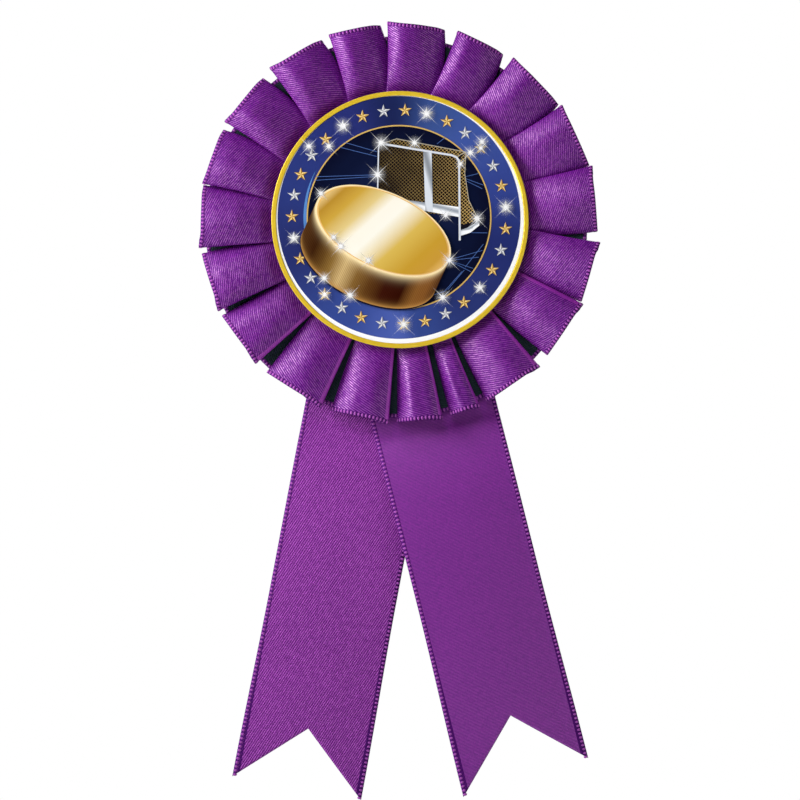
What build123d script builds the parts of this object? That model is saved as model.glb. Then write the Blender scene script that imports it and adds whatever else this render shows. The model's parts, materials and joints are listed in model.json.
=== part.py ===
from build123d import *
import os
from math import cos, radians, sin

# An award rosette: a ring of box pleats round a printed medallion, two swallow-tailed streamers
# that hang from behind the ring, and a bar pin on the back.
# Millimetres. The origin is on the rosette's axis at the back face of the backing disc,
# +Z is up and the front faces -Y. A "depth" is a distance forward from the back face.

# Ribbon
RIBBON_WIDTH = 32.0
RIBBON_THICKNESS = 0.4

# Layers, from the back face forward
BACKING_THICKNESS = 0.8
CLINCH_SPACE = 0.5
STREAMER_GAP = 0.3
CORE_THICKNESS = 0.8
FLANGE_THICKNESS = 0.9
REAR_STREAMER_DEPTH = BACKING_THICKNESS + CLINCH_SPACE
FRONT_STREAMER_DEPTH = REAR_STREAMER_DEPTH + RIBBON_THICKNESS + STREAMER_GAP
CORE_DEPTH = FRONT_STREAMER_DEPTH + RIBBON_THICKNESS
FLANGE_DEPTH = CORE_DEPTH + CORE_THICKNESS
PLEAT_DEPTH = FLANGE_DEPTH + FLANGE_THICKNESS
HOLDER_DEPTH = 6.3

# Card discs
BACKING_RADIUS = 32.0
CORE_RADIUS = 28.0

# Pleated ring
PLEAT_COUNT = 19
PLEAT_PITCH = 360 / PLEAT_COUNT
FLANGE_INNER_RADIUS = 18.5
FLANGE_OUTER_RADIUS = 46.0
# Sections of one pleat from its sewn end to its selvedge: radius, width, side height, crown height
PLEAT_SECTIONS = (
    (22.0, 6.2, 0.5, 0.9),
    (34.0, 9.8, 0.9, 2.4),
    (44.0, 13.2, 1.3, 4.6),
    (50.4, 15.0, 1.5, 5.0),
)

# Thread stitches that hold the pleats on the core
STITCH_COUNT = 2 * PLEAT_COUNT
STITCH_RADIUS = 20.2
STITCH_LENGTH = 2.2
STITCH_THREAD = 0.35

# Medallion
HOLDER_RADIUS = 32.3
HOLDER_PLATE = 0.9
HOLDER_LIP_WIDTH = 1.15
HOLDER_LIP_HEIGHT = 0.5
LABEL_CLEARANCE = 0.05
LABEL_THICKNESS = 0.3
PAD_RADIUS = 11.5

# Streamers
NOTCH_DEPTH = 15.6
TAB_START = 10.0
HINGE_DISTANCE = 53.0
HINGE_GAP = 0.6
LEFT_TILT = 10.7
LEFT_OFFSET = 1.0
LEFT_LENGTH = 145.4
RIGHT_TILT = -14.2
RIGHT_OFFSET = -3.6
RIGHT_LENGTH = 143.7

# Staples
STAPLE_WIRE_RADIUS = 0.22
STAPLE_SPAN = 7.0
STAPLE_CENTRES = (-5.0, 5.0)
STAPLE_HEIGHT = -15.0
STAPLE_BEND_RADIUS = 0.4
STAPLE_CLINCH = 2.4
STAPLE_HOLE_CLEARANCE = 0.03

# Bar pin, behind the back face: "rise" is a distance backward from it
PIN_HEIGHT = 12.0
PIN_PAD_LENGTH = 27.0
PIN_PAD_WIDTH = 6.0
PIN_PAD_THICKNESS = 0.8
BAR_LENGTH = 28.0
BAR_WIDTH = 5.0
BAR_THICKNESS = 0.6
BAR_RISE = PIN_PAD_THICKNESS + BAR_THICKNESS
NEEDLE_RISE = 3.8
HINGE_X = -12.0
EAR_THICKNESS = 0.5
EAR_GAP = 3.0
EAR_WIDTH = 3.0
EAR_TOP_RISE = NEEDLE_RISE + EAR_WIDTH / 2
RIVET_RADIUS = 0.5
RIVET_HEAD_RADIUS = 0.95
RIVET_HEAD_THICKNESS = 0.4
RIVET_CLEARANCE = 0.02
KNUCKLE_RADIUS = 1.1
KNUCKLE_LENGTH = 2.8
KNUCKLE_CLEARANCE = 0.05
NEEDLE_RADIUS = 0.45
SHOULDER_RADIUS = 0.95
SHOULDER_END_X = -9.3
SHANK_END_X = 8.8
NEEDLE_TIP_X = 13.0
NEEDLE_TIP_RADIUS = 0.08

# Safety catch, round the needle's own line
HOUSING_START_X = 9.7
HOUSING_LENGTH = 2.4
HOUSING_INNER_RADIUS = 1.5
HOUSING_OUTER_RADIUS = 2.1
HOUSING_MOUTH = 1.9
HOUSING_NECK_WIDTH = 2.4
BARREL_CLEARANCE = 0.05
BARREL_BORE_RADIUS = 0.65
BARREL_SLOT = 1.1
COLLAR_GAP = 0.1
INNER_COLLAR_RADIUS = 1.9
INNER_COLLAR_LENGTH = 0.5
OUTER_COLLAR_RADIUS = 2.0
OUTER_COLLAR_LENGTH = 0.9
LEVER_REACH = 4.2
LEVER_WIDTH = 1.5
LEVER_ANGLE = -52.0


def front_slab(sketch, depth, thickness):
    """Extrude a front-view sketch (X across, Z up) forward from a depth."""
    return extrude(Plane.XZ.offset(depth) * sketch, amount=thickness)


def rod(radius, start, end):
    """A round bar between two points."""
    start, end = Vector(start), Vector(end)
    along = Plane(origin=start, z_dir=end - start)
    return extrude(along * Circle(radius), amount=(end - start).length)


def box_between(low, high):
    """A box from its lowest corner to its highest corner."""
    size = [b - a for a, b in zip(low, high)]
    centre = [(a + b) / 2 for a, b in zip(low, high)]
    return Pos(*centre) * Box(*size)


def staple_leg_xs():
    """Where the staples' legs pass through the layers, along X."""
    half = STAPLE_SPAN / 2
    return [centre + side * half for centre in STAPLE_CENTRES for side in (-1, 1)]


def punch_staple_holes(sheet):
    """Open the sheet where the staples' legs pass through it."""
    for x in staple_leg_xs():
        hole = rod(
            STAPLE_WIRE_RADIUS + STAPLE_HOLE_CLEARANCE,
            (x, 0, STAPLE_HEIGHT),
            (x, -HOLDER_DEPTH, STAPLE_HEIGHT),
        )
        sheet = sheet - hole
    return sheet


def backing_disc():
    return front_slab(Circle(BACKING_RADIUS), 0, BACKING_THICKNESS)


def pleat_core():
    return punch_staple_holes(front_slab(Circle(CORE_RADIUS), CORE_DEPTH, CORE_THICKNESS))


def pleat_section(radius, width, side, crown):
    """One arched cross-section of a pleat, in the plane across its length."""
    half = width / 2
    low = -PLEAT_DEPTH + FLANGE_THICKNESS / 2
    side_y = -PLEAT_DEPTH - side
    crown_y = -PLEAT_DEPTH - crown
    walls = Polyline((-half, side_y), (-half, low), (half, low), (half, side_y))
    arch = ThreePointArc((half, side_y), (0, crown_y), (-half, side_y))
    return Plane.XY.offset(radius) * make_face(walls + arch)


def pleated_ring():
    """A flat sewn flange with arched box pleats that stand on it and run out past its edge."""
    flange = Circle(FLANGE_OUTER_RADIUS) - Circle(FLANGE_INNER_RADIUS)
    ring = front_slab(flange, FLANGE_DEPTH, FLANGE_THICKNESS)
    pleat = loft([pleat_section(*section) for section in PLEAT_SECTIONS], ruled=True)
    return ring + [Rot(0, (i + 0.5) * PLEAT_PITCH, 0) * pleat for i in range(PLEAT_COUNT)]


def pleat_stitches():
    """Short thread stitches in a circle on the flange, inside the pleats."""
    stitch = box_between(
        (-STITCH_LENGTH / 2, -PLEAT_DEPTH - STITCH_THREAD, STITCH_RADIUS - STITCH_THREAD / 2),
        (STITCH_LENGTH / 2, -PLEAT_DEPTH, STITCH_RADIUS + STITCH_THREAD / 2),
    )
    stitch = fillet(stitch.edges().filter_by(Axis.X).group_by(Axis.Y)[0], STITCH_THREAD * 0.4)
    turn = 360 / STITCH_COUNT
    return Compound([Rot(0, i * turn, 0) * stitch for i in range(STITCH_COUNT)])


def centre_pad():
    return front_slab(Circle(PAD_RADIUS), FLANGE_DEPTH, HOLDER_DEPTH - FLANGE_DEPTH)


def insert_holder():
    plate = front_slab(Circle(HOLDER_RADIUS), HOLDER_DEPTH, HOLDER_PLATE + HOLDER_LIP_HEIGHT)
    recess = front_slab(
        Circle(HOLDER_RADIUS - HOLDER_LIP_WIDTH), HOLDER_DEPTH + HOLDER_PLATE, HOLDER_LIP_HEIGHT
    )
    holder = plate - recess
    front_rim = holder.edges().filter_by(GeomType.CIRCLE).group_by(Axis.Y)[0]
    return fillet(front_rim, HOLDER_LIP_HEIGHT / 3)


def insert_label():
    radius = HOLDER_RADIUS - HOLDER_LIP_WIDTH - LABEL_CLEARANCE
    return front_slab(Circle(radius), HOLDER_DEPTH + HOLDER_PLATE, LABEL_THICKNESS)


def streamer_strip(tilt, offset, depth, points):
    """A flat stretch of ribbon, drawn hanging straight down and then tilted about the rosette's axis."""
    outline = make_face(Polyline(*points, close=True))
    strip = front_slab(Pos(offset, 0) * outline, depth, RIBBON_THICKNESS)
    return Rot(0, tilt, 0) * strip


def streamer_tab(tilt, offset, depth):
    """The stretch of a streamer that is stapled down behind the pleats."""
    half = RIBBON_WIDTH / 2
    end = -(HINGE_DISTANCE - HINGE_GAP / 2)
    points = ((-half, -TAB_START), (half, -TAB_START), (half, end), (-half, end))
    return punch_staple_holes(streamer_strip(tilt, offset, depth, points))


def streamer_tail(tilt, offset, depth, length):
    """The free stretch of a streamer, with its swallow-tail cut."""
    half = RIBBON_WIDTH / 2
    top = -(HINGE_DISTANCE + HINGE_GAP / 2)
    points = ((-half, top), (half, top), (half, -length), (0, NOTCH_DEPTH - length), (-half, -length))
    return streamer_strip(tilt, offset, depth, points)


def streamer_staples():
    """Two wire staples: crown in front of the core, legs through the layers, ends clinched behind."""
    crown_y = -FLANGE_DEPTH - STAPLE_WIRE_RADIUS
    clinch_y = -REAR_STREAMER_DEPTH + STAPLE_WIRE_RADIUS
    half = STAPLE_SPAN / 2
    path = FilletPolyline(
        (-half + STAPLE_CLINCH, clinch_y, STAPLE_HEIGHT),
        (-half, clinch_y, STAPLE_HEIGHT),
        (-half, crown_y, STAPLE_HEIGHT),
        (half, crown_y, STAPLE_HEIGHT),
        (half, clinch_y, STAPLE_HEIGHT),
        (half - STAPLE_CLINCH, clinch_y, STAPLE_HEIGHT),
        radius=STAPLE_BEND_RADIUS,
    )
    wire = sweep(Plane(origin=path @ 0, z_dir=path % 0) * Circle(STAPLE_WIRE_RADIUS), path)
    return Compound([Pos(x, 0, 0) * wire for x in STAPLE_CENTRES])


def pin_pad():
    half_x, half_z = PIN_PAD_LENGTH / 2, PIN_PAD_WIDTH / 2
    return box_between(
        (-half_x, 0, PIN_HEIGHT - half_z), (half_x, PIN_PAD_THICKNESS, PIN_HEIGHT + half_z)
    )


def needle_line(x):
    """A point on the closed needle's axis."""
    return (x, NEEDLE_RISE, PIN_HEIGHT)


def hinge_rod(radius, length):
    """A round bar centred on the rivet's axis."""
    half = length / 2
    return rod(
        radius,
        (HINGE_X, NEEDLE_RISE, PIN_HEIGHT - half),
        (HINGE_X, NEEDLE_RISE, PIN_HEIGHT + half),
    )


def pin_bar():
    """A bar with rounded ends, two ears for the rivet and the catch's open housing."""
    flat = Plane.XZ.offset(-BAR_RISE) * Pos(0, PIN_HEIGHT) * SlotOverall(BAR_LENGTH, BAR_WIDTH)
    bar = extrude(flat, amount=BAR_THICKNESS)
    inner = PIN_HEIGHT + EAR_GAP / 2
    ear = box_between(
        (HINGE_X - EAR_WIDTH / 2, BAR_RISE - BAR_THICKNESS / 2, inner),
        (HINGE_X + EAR_WIDTH / 2, NEEDLE_RISE, inner + EAR_THICKNESS),
    )
    ear += rod(EAR_WIDTH / 2, (HINGE_X, NEEDLE_RISE, inner), (HINGE_X, NEEDLE_RISE, inner + EAR_THICKNESS))
    bar += ear
    bar += Pos(0, 0, -EAR_GAP - EAR_THICKNESS) * ear
    bar -= hinge_rod(RIVET_RADIUS + RIVET_CLEARANCE, EAR_GAP + 4 * EAR_THICKNESS)

    start, end = HOUSING_START_X, HOUSING_START_X + HOUSING_LENGTH
    housing = rod(HOUSING_OUTER_RADIUS, needle_line(start), needle_line(end))
    housing += box_between(
        (start, BAR_RISE - BAR_THICKNESS / 2, PIN_HEIGHT - HOUSING_NECK_WIDTH / 2),
        (end, NEEDLE_RISE, PIN_HEIGHT + HOUSING_NECK_WIDTH / 2),
    )
    housing -= rod(HOUSING_INNER_RADIUS, needle_line(start - 1), needle_line(end + 1))
    housing -= box_between(
        (start - 1, NEEDLE_RISE, PIN_HEIGHT - HOUSING_MOUTH / 2),
        (end + 1, NEEDLE_RISE + 2 * HOUSING_OUTER_RADIUS, PIN_HEIGHT + HOUSING_MOUTH / 2),
    )
    return bar + housing


def pin_rivet():
    """A plain shank through both ears with a low head outside each one."""
    shank = EAR_GAP + 2 * EAR_THICKNESS
    rivet = hinge_rod(RIVET_RADIUS, shank + 2 * RIVET_HEAD_THICKNESS)
    head = rod(
        RIVET_HEAD_RADIUS,
        (HINGE_X, NEEDLE_RISE, PIN_HEIGHT + shank / 2),
        (HINGE_X, NEEDLE_RISE, PIN_HEIGHT + shank / 2 + RIVET_HEAD_THICKNESS),
    )
    return rivet + head + Pos(0, 0, -shank - RIVET_HEAD_THICKNESS) * head


def taper(start_x, start_radius, end_x, end_radius):
    """A round taper along the needle's line."""
    start = Plane(origin=needle_line(start_x), z_dir=(1, 0, 0))
    end = Plane(origin=needle_line(end_x), z_dir=(1, 0, 0))
    return loft([start * Circle(start_radius), end * Circle(end_radius)])


def pin_needle():
    """A knuckle round the rivet, a tapered shoulder, a straight shank and a ground point."""
    needle = hinge_rod(KNUCKLE_RADIUS, KNUCKLE_LENGTH)
    needle += taper(HINGE_X, SHOULDER_RADIUS, SHOULDER_END_X, NEEDLE_RADIUS)
    needle += rod(NEEDLE_RADIUS, needle_line(SHOULDER_END_X), needle_line(SHANK_END_X))
    needle += taper(SHANK_END_X, NEEDLE_RADIUS, NEEDLE_TIP_X, NEEDLE_TIP_RADIUS)
    return needle - hinge_rod(RIVET_RADIUS + KNUCKLE_CLEARANCE, 2 * KNUCKLE_LENGTH)


def pin_catch():
    """A slotted barrel that turns in the housing, with a collar at each end and a thumb lever."""
    barrel_end = HOUSING_START_X + HOUSING_LENGTH + COLLAR_GAP
    barrel_start = HOUSING_START_X - COLLAR_GAP
    inner_start = barrel_start - INNER_COLLAR_LENGTH
    outer_end = barrel_end + OUTER_COLLAR_LENGTH
    catch = rod(HOUSING_INNER_RADIUS - BARREL_CLEARANCE, needle_line(inner_start), needle_line(outer_end))
    catch += rod(INNER_COLLAR_RADIUS, needle_line(inner_start), needle_line(barrel_start))
    catch += rod(OUTER_COLLAR_RADIUS, needle_line(barrel_end), needle_line(outer_end))
    lever = box_between(
        (barrel_end, BARREL_BORE_RADIUS, -LEVER_WIDTH / 2), (outer_end, LEVER_REACH, LEVER_WIDTH / 2)
    )
    lever = fillet(lever.edges().filter_by(Axis.X).group_by(Axis.Y)[-1], LEVER_WIDTH / 3)
    catch += Pos(0, NEEDLE_RISE, PIN_HEIGHT) * Rot(LEVER_ANGLE, 0, 0) * lever
    catch -= rod(BARREL_BORE_RADIUS, needle_line(inner_start - 1), needle_line(outer_end + 1))
    catch -= box_between(
        (inner_start - 1, NEEDLE_RISE, PIN_HEIGHT - BARREL_SLOT / 2),
        (outer_end + 1, NEEDLE_RISE + LEVER_REACH, PIN_HEIGHT + BARREL_SLOT / 2),
    )
    return catch


def hinge_point(tilt, offset, depth):
    """Where a streamer's centreline crosses its hinge line, in the ribbon's middle plane."""
    turn = radians(tilt)
    x = offset * cos(turn) - HINGE_DISTANCE * sin(turn)
    z = -offset * sin(turn) - HINGE_DISTANCE * cos(turn)
    return (round(x, 3), round(-depth - RIBBON_THICKNESS / 2, 3), round(z, 3))


def main():
    left = (LEFT_TILT, LEFT_OFFSET, REAR_STREAMER_DEPTH)
    right = (RIGHT_TILT, RIGHT_OFFSET, FRONT_STREAMER_DEPTH)
    nodes = {
        "insert_label": insert_label(),
        "insert_holder": insert_holder(),
        "centre_pad": centre_pad(),
        "pleated_ring": pleated_ring(),
        "pleat_core": pleat_core(),
        "pleat_stitches": pleat_stitches(),
        "streamer_left_tab": streamer_tab(*left),
        "streamer_left": streamer_tail(*left, LEFT_LENGTH),
        "streamer_right_tab": streamer_tab(*right),
        "streamer_right": streamer_tail(*right, RIGHT_LENGTH),
        "streamer_staples": streamer_staples(),
        "backing_disc": backing_disc(),
        "pin_pad": pin_pad(),
        "pin_bar": pin_bar(),
        "pin_rivet": pin_rivet(),
        "pin_needle": pin_needle(),
        "pin_catch": pin_catch(),
    }
    os.makedirs("parts", exist_ok=True)
    for name, shape in nodes.items():
        export_step(shape, f"parts/{name}.step")
    print("left hinge point", hinge_point(*left), "right hinge point", hinge_point(*right))


main()
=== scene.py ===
import json
import math
import random

import bpy
import numpy as np
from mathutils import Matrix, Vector


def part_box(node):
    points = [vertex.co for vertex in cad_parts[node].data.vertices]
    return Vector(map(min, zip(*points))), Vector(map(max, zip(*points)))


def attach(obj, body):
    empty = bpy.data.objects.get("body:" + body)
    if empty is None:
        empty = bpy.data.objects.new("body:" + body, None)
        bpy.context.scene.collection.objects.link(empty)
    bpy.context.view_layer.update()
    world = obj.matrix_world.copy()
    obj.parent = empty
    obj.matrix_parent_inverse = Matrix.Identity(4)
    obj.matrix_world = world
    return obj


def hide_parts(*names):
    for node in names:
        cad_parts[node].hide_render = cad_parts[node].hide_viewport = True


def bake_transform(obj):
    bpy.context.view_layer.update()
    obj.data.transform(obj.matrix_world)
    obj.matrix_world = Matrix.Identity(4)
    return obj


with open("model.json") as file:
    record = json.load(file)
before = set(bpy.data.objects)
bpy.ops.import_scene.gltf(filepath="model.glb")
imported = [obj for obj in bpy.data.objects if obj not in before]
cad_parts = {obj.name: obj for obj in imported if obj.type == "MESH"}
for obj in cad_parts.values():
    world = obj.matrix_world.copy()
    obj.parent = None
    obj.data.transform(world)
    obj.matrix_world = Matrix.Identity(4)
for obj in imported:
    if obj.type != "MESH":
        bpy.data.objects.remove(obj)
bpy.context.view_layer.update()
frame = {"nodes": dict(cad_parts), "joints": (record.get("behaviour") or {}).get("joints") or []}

# Millimetres are used for the shapes and turned into metres when a mesh is made.
MM = 0.001

# ---- sizes, from the frame where it has them
HOLDER_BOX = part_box("insert_holder")
LABEL_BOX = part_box("insert_label")
CORE_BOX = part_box("pleat_core")
HOLDER_RADIUS = HOLDER_BOX[1].x / MM
HOLDER_BACK = -HOLDER_BOX[1].y / MM
LABEL_FRONT = -LABEL_BOX[0].y / MM
FLANGE_DEPTH = -CORE_BOX[0].y / MM

RIBBON_WIDTH = 32.0
RIBBON_THICKNESS = 0.26

# The pleats: where each one's two folds stand at the rim, in degrees clockwise from the top, then how far
# the next pleat stands off at the medallion's edge, in degrees. Below nought, the next one laps over it.
PLEATS = (
    (-3.5, 12.9, -2.0), (17.2, 31.6, -2.0), (35.1, 53.6, -2.0), (54.7, 73.6, -2.0), (74.3, 93.0, -1.2),
    (96.4, 114.0, -1.6), (114.7, 132.4, 0.8), (136.3, 154.3, 2.2), (156.8, 165.3, 2.9), (167.9, 180.8, 1.4),
    (183.1, 200.0, 1.6), (202.7, 221.3, 0.8), (225.0, 241.8, 0.0), (243.3, 260.4, -1.6),
    (262.0, 280.0, -2.0), (280.4, 297.0, -2.0), (299.3, 315.9, -2.0), (319.4, 336.2, -2.0),
    (339.1, 354.0, -2.0),
)
PLEAT_INNER = 19.0
PLEAT_OUTER = 50.1
# The rim lies a little off the medallion's middle: RIM_SHIFT away from RIM_SHIFT_TURN, in radians clockwise
# from the top. It is wider than PLEAT_OUTER by RIM_SPREAD.
RIM_SPREAD = 0.17
RIM_SHIFT = 0.76
RIM_SHIFT_TURN = 0.43
FOLD_DEPTH = 5.0
CORNER_CUT = 0.3
BASE_DEPTH = FLANGE_DEPTH + 0.2

# The mesh of a pleat: rows from the sewn end to the rim, and columns across its face, round each roll, back
# under the face and through the turn to the base. The painted light band on a fold takes that many columns
# of the face too.
PLEAT_ROWS = 40
PANEL_COLUMNS = 26
ROLL_COLUMNS = 6
FOLD_LIGHT_BAND_COLUMNS = 2
MIDDLE_COLUMNS = 4
TURN_COLUMNS = 3

# The streamers by body: how far down its points reach, the notch's depth, the side it hangs on, how far its
# end turns about the middle line, in degrees, and how far its edges curl back. Lengths down a streamer run
# from level with the ring's middle. Its inner point reaches twice END_SLANT further than its outer one. Its
# cloth bends from 4 mm above the hinge to 26 mm below it, and its beads start BEADS_ABOVE the hinge.
STREAMERS = {
    "streamer_left": {"length": 146.2, "notch": 15.6, "side": -1, "twist": 13.0, "cupped": 0.6},
    "streamer_right": {"length": 144.5, "notch": 16.4, "side": 1, "twist": 12.0, "cupped": 0.6},
}
HINGE_DISTANCE = 53.0
TAB_START = 10.0
END_SLANT = 0.45
STREAMER_FLARE = 0.035
FLARE_START = 95.0
FLARE_RUN = 50.0
STREAMER_ARC = 3.2
STREAMER_SWING_BACK = 1.5
BEADS_ABOVE = 10.0
STREAMER_ROWS = 150
STREAMER_COLUMNS = 33

# A selvedge bead's half length along the edge, half width across it and half thickness.
BEAD_SIZE = np.array((0.38, 0.60, 0.26))
BEAD_OVERHANG = 0.08
RIM_BEAD_PITCH = 0.94
SIDE_BEAD_PITCH = 1.04
SELVEDGE_WIDTH = 1.05
TWILL_PITCH = 0.535
TWILL_SLANT = 23.0


# ---- small helpers
def smooth(t):
    """0 to 1 with level ends."""
    t = np.clip(t, 0.0, 1.0)
    return t * t * (3 - 2 * t)


def new_object(name, mesh):
    piece = bpy.data.objects.new(name, mesh)
    bpy.context.scene.collection.objects.link(piece)
    return piece


def grid_mesh(name, points, uvs, closed=False):
    """A quad mesh through points [columns, rows], in millimetres, with its UVs in millimetres of ribbon.
    A closed one joins its last column to its first, and its UVs have one column more."""
    columns, rows = points.shape[:2]
    mesh = bpy.data.meshes.new(name)
    faces, corners = [], []
    for i in range(columns if closed else columns - 1):
        k = (i + 1) % columns
        for j in range(rows - 1):
            faces.append((i * rows + j, k * rows + j, k * rows + j + 1, i * rows + j + 1))
            corners += [uvs[i, j], uvs[i + 1, j], uvs[i + 1, j + 1], uvs[i, j + 1]]
    mesh.from_pydata((points.reshape(-1, 3) * MM).tolist(), [], faces)
    layer = mesh.uv_layers.new(name="UVMap")
    layer.data.foreach_set("uv", np.array(corners, np.float32).ravel())
    mesh.polygons.foreach_set("use_smooth", [True] * len(faces))
    mesh.update()
    return mesh


def thicken(piece, thickness):
    """Gives a one-sided piece its thickness and makes that its own mesh."""
    shell = piece.modifiers.new("thickness", "SOLIDIFY")
    shell.thickness = thickness * MM
    shell.offset = 0
    shell.use_even_offset = False
    graph = bpy.context.evaluated_depsgraph_get()
    made = bpy.data.meshes.new_from_object(piece.evaluated_get(graph))
    piece.modifiers.clear()
    old = piece.data
    piece.data = made
    bpy.data.meshes.remove(old)
    made.name = piece.name


def bead_shape():
    """Unit ellipsoid of a selvedge bead: points and faces."""
    rings, sides = 4, 8
    points = [(0, 0, 1)]
    for r in range(1, rings):
        polar = math.pi * r / rings
        for s in range(sides):
            turn = 2 * math.pi * s / sides
            reach = math.sin(polar)
            points.append((reach * math.cos(turn), reach * math.sin(turn), math.cos(polar)))
    points.append((0, 0, -1))
    last = len(points) - 1
    faces = []
    for s in range(sides):
        n = (s + 1) % sides
        faces.append((0, 1 + s, 1 + n))
        for r in range(rings - 2):
            a, b = 1 + r * sides, 1 + (r + 1) * sides
            faces.append((a + s, b + s, b + n, a + n))
        low = 1 + (rings - 2) * sides
        faces.append((low + n, low + s, last))
    return np.array(points, float), faces


def place_along(at, run, line):
    """The place at a distance along a line of points, where run is each point's own distance."""
    return np.array([np.interp(at, run, line[:, k]) for k in range(3)])


def beads_along(name, edges, pitch):
    """Selvedge stitches: one small bead at each pitch along every edge.
    An edge is (points on the edge, points further in), in millimetres."""
    unit, shape = bead_shape()
    look_ahead = 0.2
    points, faces = [], []
    for outer, inner in edges:
        outer, inner = np.asarray(outer, float), np.asarray(inner, float)
        steps = np.linalg.norm(np.diff(outer, axis=0), axis=1)
        run = np.concatenate([[0], np.cumsum(steps)])
        count = int(run[-1] / pitch)
        for at in (np.arange(count) + 0.5) * run[-1] / max(count, 1):
            here, further_in = place_along(at, run, outer), place_along(at, run, inner)
            along = place_along(at + look_ahead, run, outer) - place_along(at - look_ahead, run, outer)
            along /= np.linalg.norm(along) + 1e-9
            across = here - further_in
            across -= along * (across @ along)
            across /= np.linalg.norm(across) + 1e-9
            axes = np.array([along, across, np.cross(along, across)])
            middle = here - across * (BEAD_SIZE[1] - BEAD_OVERHANG)
            start = len(points)
            points += list(middle + (unit * BEAD_SIZE) @ axes)
            faces += [tuple(start + i for i in face) for face in shape]
    mesh = bpy.data.meshes.new(name)
    mesh.from_pydata((np.array(points) * MM).tolist(), [], faces)
    mesh.polygons.foreach_set("use_smooth", [True] * len(faces))
    mesh.materials.append(SATIN_EDGE)
    mesh.update()
    return new_object(name, mesh)


# ---- materials
def srgb(r, g, b):
    """A colour given as it looks on screen, 0 to 255, as the linear colour that shaders take."""
    def linear(c):
        c /= 255
        return c / 12.92 if c <= 0.04045 else ((c + 0.055) / 1.055) ** 2.4
    return (linear(r), linear(g), linear(b), 1.0)


def darker(colour, share):
    return tuple(c * share for c in colour[:3]) + (1.0,)


class Nodes:
    """A material under construction: short calls for the nodes that the materials below share."""

    def __init__(self, name):
        self.material = bpy.data.materials.new(name)
        self.material.use_nodes = True
        self.tree = self.material.node_tree
        self.shader = self.tree.nodes["Principled BSDF"]

    def link(self, value, socket):
        if hasattr(value, "is_output"):
            self.tree.links.new(value, socket)
        else:
            socket.default_value = value

    def add(self, kind):
        return self.tree.nodes.new("ShaderNode" + kind)

    def math(self, operation, a, b=0.0, c=0.0):
        node = self.add("Math")
        node.operation = operation
        for value, socket in zip((a, b, c), node.inputs):
            self.link(value, socket)
        return node.outputs[0]

    def clamp(self, value, low=0.0):
        """Keeps a value from low to 1."""
        return self.math("MAXIMUM", self.math("MINIMUM", value, 1.0), low)

    def uv(self):
        split = self.add("SeparateXYZ")
        source = self.add("UVMap")
        source.uv_map = "UVMap"
        self.link(source.outputs["UV"], split.inputs[0])
        return split.outputs["X"], split.outputs["Y"]

    def from_middle(self, u, v):
        """Distance of a place in the UVs from their middle."""
        return self.math("SQRT", self.math("ADD", self.math("MULTIPLY", u, u), self.math("MULTIPLY", v, v)))

    def vector(self, x, y):
        joined = self.add("CombineXYZ")
        self.link(x, joined.inputs[0])
        self.link(y, joined.inputs[1])
        return joined.outputs[0]

    def place(self):
        return self.add("TexCoord").outputs["Object"]

    def facing(self):
        """How squarely the surface faces along the part's depth: 1 front or back, 0 sideways."""
        split = self.add("SeparateXYZ")
        source = self.add("TexCoord")
        self.link(source.outputs["Normal"], split.inputs[0])
        return self.math("ABSOLUTE", split.outputs["Y"])

    def noise(self, scale, detail=3.0, vector=None):
        node = self.add("TexNoise")
        node.inputs["Scale"].default_value = scale
        node.inputs["Detail"].default_value = detail
        self.link(vector or self.place(), node.inputs["Vector"])
        return node.outputs["Fac"]

    def ramp(self, factor, stops, smooth_steps=False):
        node = self.add("ValToRGB")
        node.color_ramp.interpolation = "EASE" if smooth_steps else "LINEAR"
        elements = node.color_ramp.elements
        while len(elements) < len(stops):
            elements.new(0.5)
        for element, (place, colour) in zip(elements, stops):
            element.position = place
            element.color = colour
        self.link(factor, node.inputs[0])
        return node.outputs[0]

    def mix(self, factor, a, b):
        node = self.add("Mix")
        node.data_type = "RGBA"
        self.link(factor, node.inputs[0])
        self.link(a, node.inputs[6])
        self.link(b, node.inputs[7])
        return node.outputs[2]

    def scaled(self, colour, factor):
        node = self.add("VectorMath")
        node.operation = "SCALE"
        self.link(colour, node.inputs[0])
        self.link(factor, node.inputs["Scale"])
        return node.outputs[0]

    def bump(self, height, distance):
        node = self.add("Bump")
        node.inputs["Distance"].default_value = distance
        self.link(height, node.inputs["Height"])
        return node.outputs[0]

    def set(self, **values):
        for name, value in values.items():
            self.link(value, self.shader.inputs[name.replace("_", " ")])
        return self.material


TWILL_RELIEF = 0.00006
FAINT_RELIEF = 0.00001
DASH_LENGTH = 1.6
SELVEDGE = srgb(70, 18, 96)
SELVEDGE_GLOSS = srgb(80, 30, 104)
GAP_GLOSS = srgb(70, 30, 96)


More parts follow.
